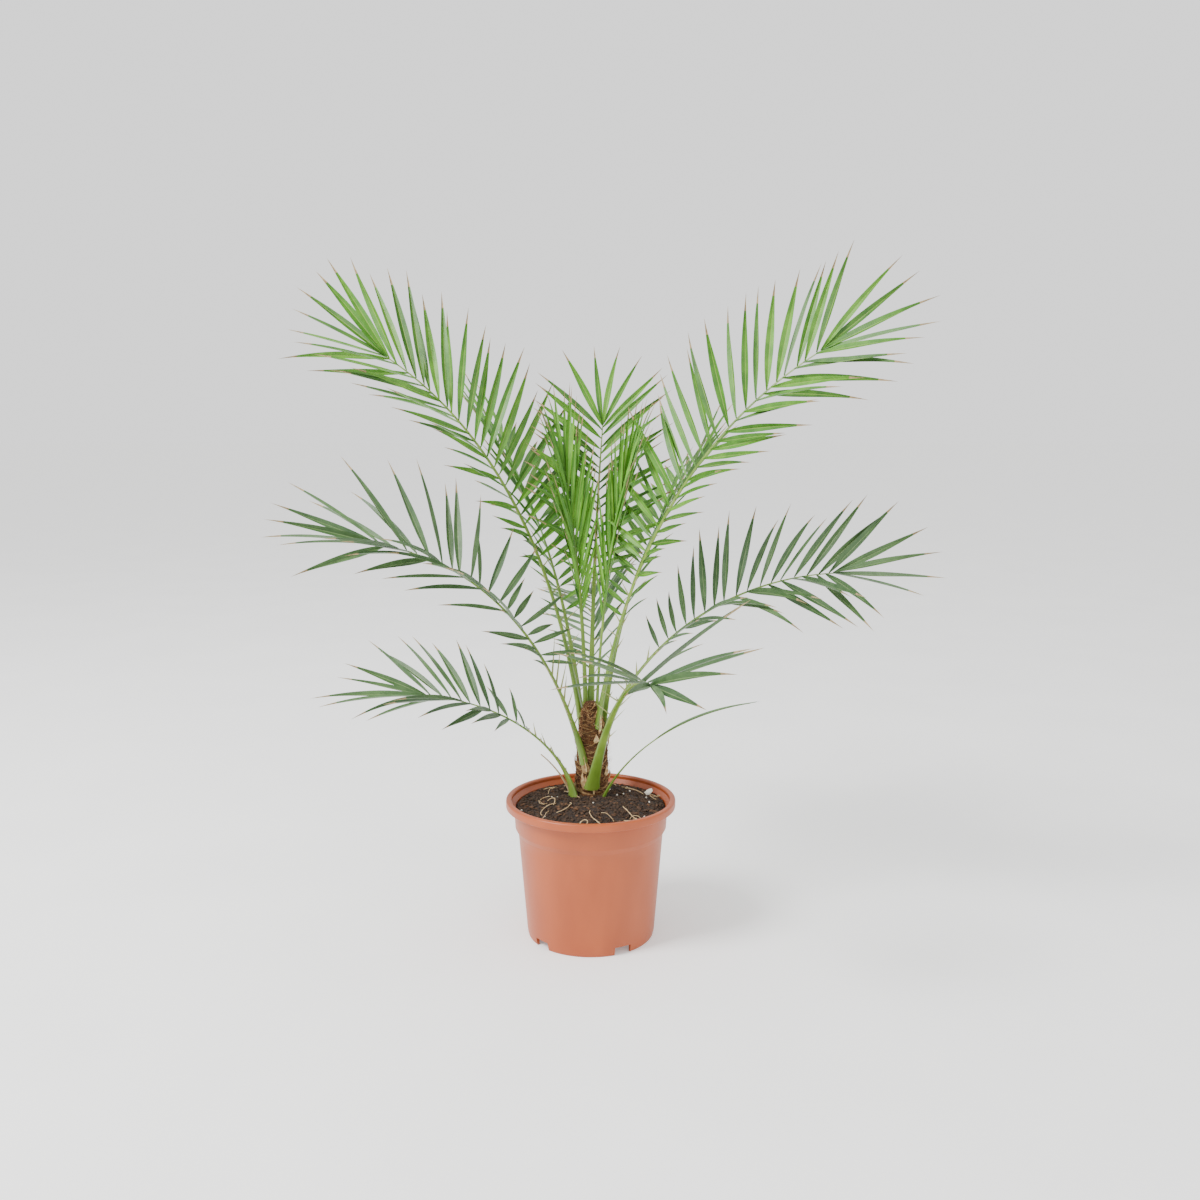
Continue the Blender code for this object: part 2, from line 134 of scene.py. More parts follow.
RIPPLE_WAVES = 26
RIPPLE_RANGE = (0.6, 1.6)  # lengths of the waves against the size asked for
RIPPLE_PEAK = 1.6  # a sum past this many square roots of the number of waves is clipped

# Fibres and torn leaf bases, with their places as shares of the trunk's height
FIBRE_STATIONS = 12
FIBRE_FEET = (0, 0.96)
FIBRE_TOP = 0.99
FIBRE_STAND = (0.1, 1)  # shares of its kind's stand that a free end takes
FIBRE_STAND_POWER = 1.6
FIBRE_WAVE = 0.0004
FIBRE_WAVES = (4, 12)  # radians of wave along a strand
FIBRE_TAPER = 0.85
FIBRE_TAPER_POWER = 3
FIBRE_FLATNESS = 0.35
FIBRE_SIDES = 5
BROWN_OF_FIVE = 3  # strands in each five that are brown; the rest are tan
TORN_BASES = 22
TORN_AT_FOOT = (0.02, 0.35)
TORN_AT_NECK = (0.4, 0.75)
TORN_LIFT = 0.0012
TORN_LEAN = (0.04, 0.25)
TORN_LENGTH = (0.010, 0.026)
TORN_HALF_WIDTH = (0.0018, 0.0042)
TORN_BOW = 0.05
TORN_TWIST = 0.4

# Litter and roots on the compost
LITTER_REACH = 0.975  # share of the compost's radius
LITTER_GAP = 0.001  # between litter and trunk
CRUMB_BREADTH = (0.55, 1)  # shares of a crumb's length
CRUMB_TIP = 0.5  # the most that a crumb is tipped over, in radians
CHIP_PLACE = (0.066, 0.034, 0.1525)
CHIP_SIZE = 0.0062
CHIP_FLATNESS = 0.45
CHIP_UNEVENNESS = 0.2
ROOTS = 26
ROOT_STARTS = 60  # places drawn, of which the first ones clear of the trunk are used
ROOT_STATIONS = 30
ROOT_REACH = 0.081
ROOT_LIFT = 0.003
ROOT_WANDER = 0.1  # uneven part of the change of heading between two stations, in radians
ROOT_CURL = 0.16  # steady part of it
ROOT_STEP_MM = (0.5, 1.15)
ROOT_ARCH = 0.0025
ROOT_ARCH_RANGE = (0.2, 1.6)
ROOT_WIDTH_MM = (0.25, 0.55)
ROOT_SIDES = 6

# Leaflets
LEAFLET_STATIONS = 13
LEAFLET_COLUMNS = np.array([-1.0, -0.5, 0.0, 0.5, 1.0])
LEAFLET_HALF_WIDTH = 0.0049
DRY_TIP_STATIONS = 2
SHORTEST_LEAFLET = 0.40  # the first leaflet's length as a share of the full length
LOW_ANGLE_SPAN = 0.6
GROWTH_MIDDLE = 0.7
FAN_FOLDS = (0.4, 0.8)  # how far the leaflets of the end fan are closed towards the rib
LAST_SHARE = 0.995  # where on the rib the end fan sits
CURVE_STEPS = 160
FIRST_STEP = 0.3
ROW_STAGGER = 0.25
STEP_JITTER = 0.18
ANGLE_JITTER = 4
LIFT_JITTER = 3
PLANES = np.array([-1.0, 0.25, 1.0])  # leaflets take three planes in turn, in shares of the frond's spread
LENGTH_RANGE = (0.97, 1.07)
SEAT_ON_RIB = 0.6
USUAL_LENGTH = 0.12
WIDTH_RANGE = (0.88, 1.08)
BOW_RANGE = (-0.01, 0.035)
DROOP_RANGE = (-0.015, 0.06)
DROOP_POWER = 2.2
TWIST = 34
TWIST_LOST = 0.4
WIDEST_AT = 0.38
NARROWER_FOOT = 0.72
TIP_POWER = 1.7
FOLD_AT_ENDS = 62
FOLD_OPENS = 34
FOLD_POWER = 0.6

# Ribs, spines and the strap leaf
RIB_STATIONS = 48
RIB_SIDES = 18
RIB_FLATNESS = 0.66
RIB_TOP = 0.62  # height of the upper half of the section against the lower
RIB_NARROWS = 0.72
FOOT_SPREAD = 0.28
FOOT_SPREAD_LENGTH = 0.012
SPINES_FROM, SPINES_TO = 0.34, 0.97
SPINE_LEAN = (38, 62)
SPINE_LIFT = 0.45
SPINE_SHORTEST = 0.35
SPINE_RANGE = (0.75, 1.1)
SPINE_HALF_WIDTH = 1.05 * MM
SPINE_POINT = 0.05 * MM
SPINE_STATIONS = 6
SPINE_SIDES = 6
SPINE_SEAT = 0.75
SPINE_TAPER_POWER = 1.4
SPINE_FLATNESS = 0.7
OFF_UPRIGHT = np.array([0.12, 0.2, 1.0])  # a direction along which no spine runs
STRAP_STATIONS = 30
STRAP_HALF_WIDTH = 0.0042
STRAP_END_WIDTH = 0.3
STRAP_SKEW = 0.8
STRAP_FOLD = 0.45
STRAP_POINTS = (0.007, 0.011)  # how far the two halves of its split end run on

# Finishes
PATCH_DETAIL = 5.0
PATCH_EDGES = (0.34, 0.66)  # noise values where the darker and the lighter tone are reached
GRIT_DETAIL = 3.0
GLOSS_SPREAD = (-0.06, 0.08)
RELIEF_STRENGTH = 0.6
LEAF_PATCH_MM = 14
LEAF_GRIT_MM = 2
LEAF_RELIEF_MM = 0.15
LEAF_ROUGHNESS = 0.42
FOLD_LINE_EDGES = (0.02, 0.07)  # distance from the fold as a share of the leaflet's width
FOLD_LINE_STRENGTH = 0.8
VEINS = 9  # lengthwise veins across a leaflet, fewer and coarser than real so that they show
VEIN_RELIEF_MM = 0.12
VEIN_STRENGTH = 0.35
SHARP_ANGLE = 50


@dataclass
class Row:
    """One side's leaflets: their angle to the rib at 0.4 of its length and at its tip, and their lift."""

    low_angle: float
    tip_angle: float
    lift: float
    length: float
    ramp: float  # share of the rib over which they reach full length


@dataclass
class Frond:
    """A frond's seat, the curve of its rib, its two rows of leaflets and its finish; angles in degrees."""

    name: str
    seat: tuple  # bearing from the trunk's axis, distance from it, height
    heading: tuple  # at the foot and at the tip
    rise: tuple  # above level, at the foot and at the tip
    bend: float  # power of the change of rise along the rib
    length: float
    roll: tuple  # about the rib, at the foot and at the tip
    inner: Row
    outer: Row
    hand: int  # side of the inner row: 1 for a frond that heads left, -1 for right
    growth: float  # change of leaflet length along the rib
    blade_from: float  # share of the rib where the leaflets start
    stalk: tuple  # half width at the foot and half width where the leaflets start
    blades: int = 2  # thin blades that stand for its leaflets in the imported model
    tone: str = "bright"
    pitch: float = 0.0130  # between two leaflets of one row
    spines: int = 8
    longest_spine: float = 0.022
    spread: float = 9.0  # how far leaflets leave their row's plane, each way
    breadth: float = 1.0  # leaflet width against the usual one


FRONDS = (
    Frond("frond_left_top", (151, 0.0125, 0.245), (150, 163), (78, 31), 1.43, 0.488, (-17, 51),
          Row(67, 27, 19.5, 0.144, 0.08), Row(76, 47, 21, 0.118, 0.45), 1, 0.06, 0.37, (0.0060, 0.0026)),
    Frond("frond_right_top", (-57, 0.0120, 0.236), (-20, -19), (80, 31), 1.39, 0.492, (-32, -57),
          Row(80, 38, 19, 0.121, 0.18), Row(62, 36, 5, 0.123, 0.50), -1, -0.05, 0.36, (0.0058, 0.0026)),
    Frond("frond_left_middle", (248, 0.0162, 0.1975), (204, 200), (73, 10), 1.52, 0.359, (46, 21),
          Row(118, 34, 20, 0.119, 0.50), Row(52, 39, 9.5, 0.121, 0.25), 1, -0.11, 0.33, (0.0068, 0.0026),
          tone="dull", spines=15, longest_spine=0.046, spread=14),
    Frond("frond_right_middle", (0, 0.0160, 0.2300), (19, -18), (67, 5), 0.94, 0.329, (-3, -40),
          Row(72, 43, 18, 0.110, 0.20), Row(63, 54, 15, 0.118, 0.25), -1, 0.03, 0.32, (0.0052, 0.0024),
          tone="dull", spread=11),
    Frond("frond_left_low", (220, 0.0247, 0.1573), (190, 187), (89, 6), 0.60, 0.216, (-12, 28),
          Row(83, 40, 9, 0.106, 0.25), Row(84, 39, 14, 0.121, 0.40), 1, -0.07, 0.44, (0.0072, 0.0020), 1,
          tone="dull", pitch=0.0115, spines=9),
    Frond("frond_front_low", (-86, 0.0176, 0.1690), (-61, -78), (69, 0), 1.43, 0.253, (6, -12),
          Row(76, 35, 25, 0.138, 0.05), Row(75, 44, 26, 0.137, 0.05), -1, 0.09, 0.80, (0.0076, 0.0028), 1,
          tone="dull", pitch=0.0105, spines=10, longest_spine=0.045),
    Frond("frond_back_top", (94, 0.0085, 0.2480), (80, 78), (83, 70), 1.26, 0.333, (-11, 3),
          Row(74, 47, 14, 0.101, 0.12), Row(63, 53, 18, 0.101, 0.12), 1, -0.08, 0.45, (0.0040, 0.0022), 1,
          pitch=0.0105, spines=4),
    Frond("frond_back_left", (118, 0.0150, 0.2050), (116, 128), (77, 36), 1.30, 0.410, (0, -40),
          Row(66, 36, 16, 0.100, 0.30), Row(62, 36, 16, 0.108, 0.45), 1, 0.0, 0.38, (0.0060, 0.0025)),
    Frond("frond_back_right", (52, 0.0155, 0.1950), (62, 52), (77, 28), 1.30, 0.400, (0, 42),
          Row(66, 36, 16, 0.100, 0.30), Row(62, 36, 16, 0.104, 0.45), -1, 0.0, 0.40, (0.0060, 0.0025)),
    Frond("frond_back_low", (88, 0.0168, 0.1760), (88, 92), (70, 4), 1.20, 0.290, (10, 34),
          Row(70, 36, 20, 0.098, 0.25), Row(66, 36, 20, 0.098, 0.30), 1, 0.0, 0.42, (0.0064, 0.0024), 1,
          tone="dull"),
    Frond("young_frond_left", (144, 0.0070, 0.2560), (120, 120), (87, 70), 1.35, 0.258, (-3, 13),
          Row(18, 12, 30, 0.115, 0.20), Row(18, 13, 30, 0.106, 0.20), 1, -0.05, 0.40, (0.0032, 0.0022), 1,
          tone="young", pitch=0.0080, spines=0, spread=6, breadth=0.62),
    Frond("young_frond_right", (-5, 0.0065, 0.2560), (14, 14), (87, 77), 1.37, 0.246, (2, -44),
          Row(15, 7, 29, 0.104, 0.20), Row(18, 13, 28, 0.108, 0.20), -1, -0.06, 0.40, (0.0032, 0.0022), 1,
          tone="young", pitch=0.0080, spines=0, spread=6, breadth=0.62),
)

NO_LEAFLETS = Row(0, 0, 0, 0, 1)
STRAP_LEAF = Frond("strap_leaf", (-55, 0.0240, 0.1573), (-20, -20), (67, 13.5), 0.75, 0.213, (0, 0),
                   NO_LEAFLETS, NO_LEAFLETS, -1, 0.0, 0.45, (0.0030, 0.0014), 1, spines=0)
OLD_LEAF = Frond("old_leaf", (176, 0.0232, 0.1573), (176, 184), (66, 40), 1.0, 0.056, (0, 0),
                 NO_LEAFLETS, NO_LEAFLETS, 1, 0.0, 1.0, (0.0028, 0.0012), 0, spines=0)


def linear(hex_colour):
    """sRGB hex colour to linear RGBA."""
    parts = [int(hex_colour[i : i + 2], 16) / 255 for i in (0, 2, 4)]
    return [c / 12.92 if c <= 0.04045 else ((c + 0.055) / 1.055) ** 2.4 for c in parts] + [1.0]


def add_node(tree, kind, settings=(), values=(), links=()):
    """Adds a shader node, with its settings, its inputs' values and the sockets that feed it."""
    node = tree.nodes.new("ShaderNode" + kind)
    for name, value in dict(settings).items():
        setattr(node, name, value)
    for name, value in dict(values).items():
        node.inputs[name].default_value = value
    for name, socket in dict(links).items():
        tree.links.new(socket, node.inputs[name])
    return node


def mottled(name, low, high, grain_mm, roughness, bump_mm, grit_mm=None, stretch=(1, 1, 1)):
    """A dielectric whose colour drifts between two tones over grain_mm, with relief at grit_mm."""
    material = bpy.data.materials.new(name)
    material.use_nodes = True
    tree = material.node_tree
    shader = tree.nodes["Principled BSDF"]
    place = add_node(tree, "TexCoord").outputs["Object"]
    place = add_node(tree, "Mapping", values={"Scale": stretch}, links={"Vector": place}).outputs[0]
    patch = add_node(tree, "TexNoise", values={"Scale": 1 / (grain_mm * MM), "Detail": PATCH_DETAIL},
                     links={"Vector": place})
    grit_size = (grit_mm or grain_mm / 4) * MM
    grit = add_node(tree, "TexNoise", values={"Scale": 1 / grit_size, "Detail": GRIT_DETAIL},
                    links={"Vector": place})
    spread = add_node(tree, "MapRange", values={"From Min": PATCH_EDGES[0], "From Max": PATCH_EDGES[1]},
                      links={"Value": patch.outputs["Fac"]})
    colour = add_node(tree, "Mix", settings={"data_type": "RGBA"},
                      values={6: linear(low), 7: linear(high)}, links={0: spread.outputs[0]})
    gloss = {"To Min": roughness + GLOSS_SPREAD[0], "To Max": roughness + GLOSS_SPREAD[1]}
    matt = add_node(tree, "MapRange", values=gloss, links={"Value": grit.outputs["Fac"]})
    relief = add_node(tree, "Bump", values={"Strength": RELIEF_STRENGTH, "Distance": bump_mm * MM},
                      links={"Height": grit.outputs["Fac"]})
    tree.links.new(colour.outputs[2], shader.inputs["Base Color"])
    tree.links.new(matt.outputs[0], shader.inputs["Roughness"])
    tree.links.new(relief.outputs[0], shader.inputs["Normal"])
    return material


def veined(name, low, high, vein):
    """Living leaf: two greens in patches, fine veins along it, and a paler line down its fold."""
    material = mottled(name, low, high, LEAF_PATCH_MM, LEAF_ROUGHNESS, LEAF_RELIEF_MM, LEAF_GRIT_MM)
    tree = material.node_tree
    shader = tree.nodes["Principled BSDF"]
    across = add_node(tree, "SeparateXYZ", links={0: add_node(tree, "UVMap", {"uv_map": "leaf"}).outputs[0]})
    off_fold = add_node(tree, "Math", {"operation": "SUBTRACT"}, {1: 0.5}, {0: across.outputs[0]})
    off_fold = add_node(tree, "Math", {"operation": "ABSOLUTE"}, links={0: off_fold.outputs[0]})
    edges = {"From Min": FOLD_LINE_EDGES[0], "From Max": FOLD_LINE_EDGES[1]}
    fold_line = add_node(tree, "MapRange", values={**edges, "To Min": FOLD_LINE_STRENGTH, "To Max": 0},
                         links={"Value": off_fold.outputs[0]})
    green = shader.inputs["Base Color"].links[0].from_socket
    colour = add_node(tree, "Mix", {"data_type": "RGBA"}, {7: linear(vein)},
                      {0: fold_line.outputs[0], 6: green})
    veins = add_node(tree, "Math", {"operation": "MULTIPLY"}, {1: VEINS * 2 * pi}, {0: across.outputs[0]})
    veins = add_node(tree, "Math", {"operation": "SINE"}, links={0: veins.outputs[0]})
    skin = shader.inputs["Normal"].links[0].from_socket
    relief = add_node(tree, "Bump", values={"Strength": VEIN_STRENGTH, "Distance": VEIN_RELIEF_MM * MM},
                      links={"Height": veins.outputs[0], "Normal": skin})
    tree.links.new(colour.outputs[2], shader.inputs["Base Color"])
    tree.links.new(relief.outputs[0], shader.inputs["Normal"])
    return material


# Injection-moulded polypropylene: an even satin orange-brown with faint flow marks down the wall
POT_PLASTIC = mottled("terracotta polypropylene", "9e481c", "a95022", 38, 0.40, 0.05, 1.2, (1, 1, 0.35))
# Moist peat compost: nearly black, matt, with brown crumbs
COMPOST = mottled("moist peat compost", "17110d", "3a2a1f", 3, 0.92, 0.9, 0.8)
# Peat crumb: paler brown specks that break up the dark surface
CRUMB = mottled("peat crumb", "2a1d15", "4d3826", 2, 0.9, 0.5, 0.6)
# Composted pine bark: red-brown flakes with a fine grain
BARK = mottled("composted pine bark", "33200f", "6a472c", 4, 0.85, 0.4, 0.8)
# Expanded perlite and dry lime crumbs: chalky off-white
PERLITE = mottled("expanded perlite", "cfc8ba", "efe9dc", 1.5, 0.9, 0.3, 0.5)
# Dried root: pale straw threads
ROOT = mottled("dried root", "a98a62", "d2b98f", 3, 0.8, 0.1, 0.6)
# Palm leaf-base fibre: a matted red-brown net
FIBRE_MAT = mottled("palm leaf-base fibre", "38200f", "6f4527", 2.2, 0.9, 0.8, 0.5, (1, 1, 0.35))
# Single dried strands on top of it, in brown and in tan
FIBRE_BROWN = mottled("brown fibre strand", "4c2f1b", "86592f", 4, 0.8, 0.1, 0.6)
FIBRE_TAN = mottled("tan fibre strand", "8f6a41", "c3a070", 4, 0.8, 0.1, 0.6)
# Torn leaf base: cream to pinkish dry tissue
TORN_BASE = mottled("torn palm leaf base", "b98f63", "e0c996", 3, 0.75, 0.2, 0.8)
# Palm stalk: a waxy yellow-green skin
STALK = mottled("waxy palm stalk", "587822", "779238", 18, 0.34, 0.08, 1.5, (1, 1, 0.4))
# Palm spine: stiff, straw-green and a little glossy
SPINE = mottled("palm spine", "6f8038", "a3a066", 8, 0.4, 0.05, 1.5)
# Dry leaf tip: papery grey-brown
DRY_TIP = mottled("dry leaf tip", "8d7b58", "b39f78", 5, 0.7, 0.1, 1)
# Fresh, older and youngest leaflets: satin greens that differ a little from leaflet to leaflet
GREENS = {
    "bright": [veined(f"fresh palm leaflet {n}", *tones, "86a34e") for n, tones in enumerate(
        (("356a10", "4a8218"), ("3f7818", "588f20"), ("2e5e10", "457618"), ("4a8020", "659c2c")))],
    "dull": [veined(f"older palm leaflet {n}", *tones, "7c9460") for n, tones in enumerate(
        (("38582a", "4a6a38"), ("305028", "426236"), ("426236", "567844"), ("3a5832", "4e6e40")))],
    "young": [veined(f"youngest palm leaflet {n}", *tones, "98b455") for n, tones in enumerate(
        (("468012", "5a981e"), ("3e7816", "528c1e"), ("528c1a", "6ca62e")))],
}


def unit(vectors):
    """The vectors, each divided by its length."""
    return vectors / np.linalg.norm(vectors, axis=-1, keepdims=True)


def grid_faces(count, rows, columns, closed=False):
    """Quads of equal grids of points; closed joins the last column to the first."""
    i = np.arange(rows - 1)[:, None]
    j = np.arange(columns if closed else columns - 1)[None, :]
    k = (j + 1) % columns
    corners = [i * columns + j, i * columns + k, (i + 1) * columns + k, (i + 1) * columns + j]
    quads = np.stack(corners, -1).reshape(-1, 4)
    return (np.arange(count)[:, None, None] * rows * columns + quads).reshape(-1, 4)


def add_piece(name, points, faces, materials, replaced=(), chosen=None, uv=None, closed=False):
    """A mesh object that rides with the plant. Closed merges the poles and turns faces outwards."""
    mesh = bpy.data.meshes.new(name)
    mesh.from_pydata(points.reshape(-1, 3).tolist(), [], faces.tolist())
    for material in materials:
        mesh.materials.append(material)
    if chosen is not None:
        mesh.polygons.foreach_set("material_index", chosen.astype(np.int32))
    if uv is not None:
        corner = np.empty(len(mesh.loops), np.int32)
        mesh.loops.foreach_get("vertex_index", corner)
        mesh.uv_layers.new(name="leaf").data.foreach_set("uv", uv.reshape(-1, 2)[corner].ravel())
    if closed:
        work = bmesh.new()
        work.from_mesh(mesh)
        bmesh.ops.remove_doubles(work, verts=work.verts, dist=1e-6)
        bmesh.ops.recalc_face_normals(work, faces=work.faces)
        work.to_mesh(mesh)
        work.free()
    mesh.shade_smooth()
    mesh.set_sharp_from_angle(angle=radians(SHARP_ANGLE))
    obj = bpy.data.objects.new(name, mesh)
    bpy.context.scene.collection.objects.link(obj)
    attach(obj, "root")
    if replaced:
        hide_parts(*replaced)
    return obj


def rib(frond, shares):
    """Points, tangents, sideways and upward directions of a frond's rib at shares of its length.

    The tangent has the heading and rise at each share, the curve is its running sum, and roll turns
    the sideways and upward directions about it.
    """
    fine = np.linspace(0, 1, CURVE_STEPS + 1)

    def direction(s):
        heading = np.radians(frond.heading[0] + (frond.heading[1] - frond.heading[0]) * s)
        rise = np.radians(frond.rise[0] + (frond.rise[1] - frond.rise[0]) * s**frond.bend)
        along = np.stack([np.cos(rise) * np.cos(heading), np.cos(rise) * np.sin(heading), np.sin(rise)], -1)
        return heading, along

    _, along = direction(fine)
    steps = (along[1:] + along[:-1]) / 2 * frond.length / CURVE_STEPS
    bearing, reach, height = frond.seat
    foot = np.array([reach * cos(radians(bearing)), TRUNK_Y + reach * sin(radians(bearing)), height])
    curve = foot + np.vstack([np.zeros(3), np.cumsum(steps, axis=0)])
    places = np.stack([np.interp(shares, fine, curve[:, axis]) for axis in range(3)], -1)
    heading, tangent = direction(shares)
    level = np.stack([np.sin(heading), -np.cos(heading), 0 * heading], -1)
    over = np.cross(level, tangent)
    roll = np.radians(frond.roll[0] + (frond.roll[1] - frond.roll[0]) * shares)[:, None]
    sideways = np.cos(roll) * level + np.sin(roll) * over
    upward = np.cos(roll) * over - np.sin(roll) * level
    return places, tangent, sideways, upward


def half_widths(frond, shares):
    """The stalk narrows as the square of the way to the first leaflets, then evenly to the rib's tip."""
    foot, neck = frond.stalk
    on_stalk = neck + (foot - neck) * np.clip(1 - shares / frond.blade_from, 0, 1) ** 2
    past = np.clip((shares - frond.blade_from) / max(1 - frond.blade_from, 1e-6), 0, 1)
    return on_stalk * (1 - RIB_NARROWS * past)


def tubes(paths, sides, ups, widths, flatness, around, top=1.0):
    """Closed tubes along paths: an ellipse carried along each, its upper half flattened by top."""
    turn = np.linspace(0, 2 * pi, around, endpoint=False)
    rise = flatness * np.where(np.sin(turn) > 0, top, 1.0) * np.sin(turn)
    ring = np.cos(turn)[:, None] * sides[..., None, :] + rise[:, None] * ups[..., None, :]
    body = paths[..., None, :] + widths[..., None, None] * ring
    ends = [np.repeat(paths[:, [at], None, :], around, axis=2) for at in (0, -1)]
    points = np.concatenate([ends[0], body, ends[1]], axis=1)
    return points, grid_faces(len(points), points.shape[1], around, closed=True)


def carried(paths, hint):
    """Side and up directions along paths, each square to the path and as near to hint as that allows."""
    tangent = unit(np.gradient(paths, axis=1))
    side = unit(np.cross(tangent, hint))
    return side, np.cross(side, tangent)


def leaflet_row(frond, row, side):
    """Foot, direction, normal and length of each leaflet of one row, and of its share of the end fan."""
    count = max(3, round(frond.length * (1 - frond.blade_from) / frond.pitch))
    jitter = rng.uniform(-STEP_JITTER, STEP_JITTER, count)
    step = (np.arange(count) + FIRST_STEP + ROW_STAGGER * (side > 0) + jitter) / count
    fold = np.concatenate([np.zeros(count), FAN_FOLDS])
    fan = np.full(len(FAN_FOLDS), LAST_SHARE)
    shares = np.append(frond.blade_from + (1 - frond.blade_from) * step, fan)
    places, tangent, sideways, upward = rib(frond, shares)
    total = len(shares)
    angle = row.tip_angle + (row.low_angle - row.tip_angle) * (1 - shares) / LOW_ANGLE_SPAN
    angle = np.radians((angle + rng.uniform(-ANGLE_JITTER, ANGLE_JITTER, total)) * (1 - fold))[:, None]
    plane = PLANES[(np.arange(total) + rng.integers(0, 2, total)) % len(PLANES)]
    tilt = frond.spread * plane * (1 - fold)
    lift = np.radians(row.lift + tilt + rng.uniform(-LIFT_JITTER, LIFT_JITTER, total))[:, None]
    outwards = side * frond.hand
    aside = outwards * np.cos(lift) * sideways + np.sin(lift) * upward
    normal = np.cos(lift) * upward - outwards * np.sin(lift) * sideways
    ramp = np.clip(SHORTEST_LEAFLET + (1 - SHORTEST_LEAFLET) * (shares - frond.blade_from) / row.ramp, 0, 1)
    length = row.length * (1 + frond.growth * (shares - GROWTH_MIDDLE)) * ramp
    length = length * rng.uniform(*LENGTH_RANGE, total)
    direction = np.cos(angle) * tangent + np.sin(angle) * aside
    foot = places + (outwards * half_widths(frond, shares) * SEAT_ON_RIB)[:, None] * sideways
    return foot, direction, normal, length


def folded_leaves(foot, direction, normal, length, half_width, bow, droop, twist):
    """Folded ribbons: a bowed midline, and columns to each side that rise by the fold's angle.

    The half width grows to its full size at WIDEST_AT of the length and then runs out to a fine point.
    """
    share = np.linspace(0, 1, LEAFLET_STATIONS)[None, :, None]
    normal = unit(normal - (normal * direction).sum(-1, keepdims=True) * direction)
    side = np.cross(direction, normal)
    spin = (twist[:, None] * (1 - TWIST_LOST * share[..., 0]))[..., None]
    across = np.cos(spin) * side[:, None] + np.sin(spin) * normal[:, None]
    up = np.cos(spin) * normal[:, None] - np.sin(spin) * side[:, None]
    reach = length[:, None, None]
    path = foot[:, None] + direction[:, None] * share * reach
    path = path + normal[:, None] * (bow[:, None, None] * reach * 4 * share * (1 - share))
    path = path + np.array([0, 0, -1.0]) * (droop[:, None, None] * reach * share**DROOP_POWER)
    swell = 1 - NARROWER_FOOT * np.clip(1 - share / WIDEST_AT, 0, 1) ** 2
    taper = 1 - np.clip((share - WIDEST_AT) / (1 - WIDEST_AT), 0, 1) ** TIP_POWER
    width = half_width[:, None, None] * swell * taper
    fold = np.radians(FOLD_AT_ENDS - FOLD_OPENS * np.sin(pi * share**FOLD_POWER))
    column = LEAFLET_COLUMNS[None, None, :, None]
    points = path[:, :, None] + width[..., None] * (
        column * np.cos(fold)[..., None] * across[:, :, None]
        + np.abs(column) * np.sin(fold)[..., None] * up[:, :, None]
    )
    count = len(foot)
    uv = np.empty(points.shape[:3] + (2,))
    uv[..., 0] = (LEAFLET_COLUMNS + 1) / 2
    uv[..., 1] = share[..., 0][:, :, None]
    return points, grid_faces(count, LEAFLET_STATIONS, len(LEAFLET_COLUMNS)), uv


def add_leaflets(frond):
    """Both rows of leaflets in place of the frond's blades, each in one of its tone's greens."""
    rows = [leaflet_row(frond, row, side) for row, side in ((frond.inner, 1), (frond.outer, -1))]
    foot, direction, normal, length = (np.concatenate(parts) for parts in zip(*rows))
    count = len(length)
    half_width = LEAFLET_HALF_WIDTH * frond.breadth * np.sqrt(length / USUAL_LENGTH)
    half_width = half_width * rng.uniform(*WIDTH_RANGE, count)
    bow = rng.uniform(*BOW_RANGE, count)
    droop = rng.uniform(*DROOP_RANGE, count)
    twist = np.radians(rng.uniform(-TWIST, TWIST, count))
    points, faces, uv = folded_leaves(foot, direction, unit(normal), length, half_width, bow, droop, twist)
    greens = GREENS[frond.tone]
    tone = rng.integers(0, len(greens), count)
    per_leaf = (LEAFLET_STATIONS - 1) * (len(LEAFLET_COLUMNS) - 1)
    chosen = np.repeat(tone, per_leaf).reshape(count, per_leaf)
    chosen[:, -DRY_TIP_STATIONS * (len(LEAFLET_COLUMNS) - 1) :] = len(greens)
    blades = [f"{frond.name}_blade_{number + 1}" for number in range(frond.blades)]
    add_piece(frond.name + "_leaflets", points, faces, greens + [DRY_TIP], blades,
              chosen.ravel(), uv)


def add_rib(frond, material=STALK):
    """The stalk and rib as one tube, rounded below and flatter above, broader where it leaves its seat."""
    shares = np.linspace(0, 1, RIB_STATIONS)
    places, _, sideways, upward = rib(frond, shares)
    foot = 1 + FOOT_SPREAD * np.exp(-shares * frond.length / FOOT_SPREAD_LENGTH)
    width = half_widths(frond, shares) * foot
    points, faces = tubes(places[None], sideways[None], upward[None], width[None],
                          RIB_FLATNESS, RIB_SIDES, RIB_TOP)
    add_piece(frond.name + "_rib", points, faces, [material], [frond.name + "_stalk"], closed=True)


def add_spines(frond):
    """Stiff spines, which are leaflets drawn to points, on both edges of the upper stalk."""
    count = frond.spines
    share = frond.blade_from * np.linspace(SPINES_FROM, SPINES_TO, count)
    places, tangent, sideways, upward = rib(frond, share)
    side = np.where(np.arange(count) % 2, 1, -1)[:, None]
    lean = np.radians(rng.uniform(*SPINE_LEAN, count))[:, None]
    direction = np.cos(lean) * tangent + np.sin(lean) * unit(side * sideways + SPINE_LIFT * upward)
    length = np.linspace(SPINE_SHORTEST, 1, count)[:, None] * frond.longest_spine
    length = length * rng.uniform(*SPINE_RANGE, (count, 1))
    along = np.linspace(0, 1, SPINE_STATIONS)[None, :, None]
    foot = places + side * sideways * half_widths(frond, share)[:, None] * SPINE_SEAT
    paths = foot[:, None] + direction[:, None] * along * length[:, None]
    across, up = carried(paths, OFF_UPRIGHT)
    taper = 1 - along[..., 0] ** SPINE_TAPER_POWER
    width = SPINE_HALF_WIDTH * taper * np.ones((count, 1)) + SPINE_POINT
    points, faces = tubes(paths, across, up, width, SPINE_FLATNESS, SPINE_SIDES)
    add_piece(frond.name + "_spines", points, faces, [SPINE], closed=True)


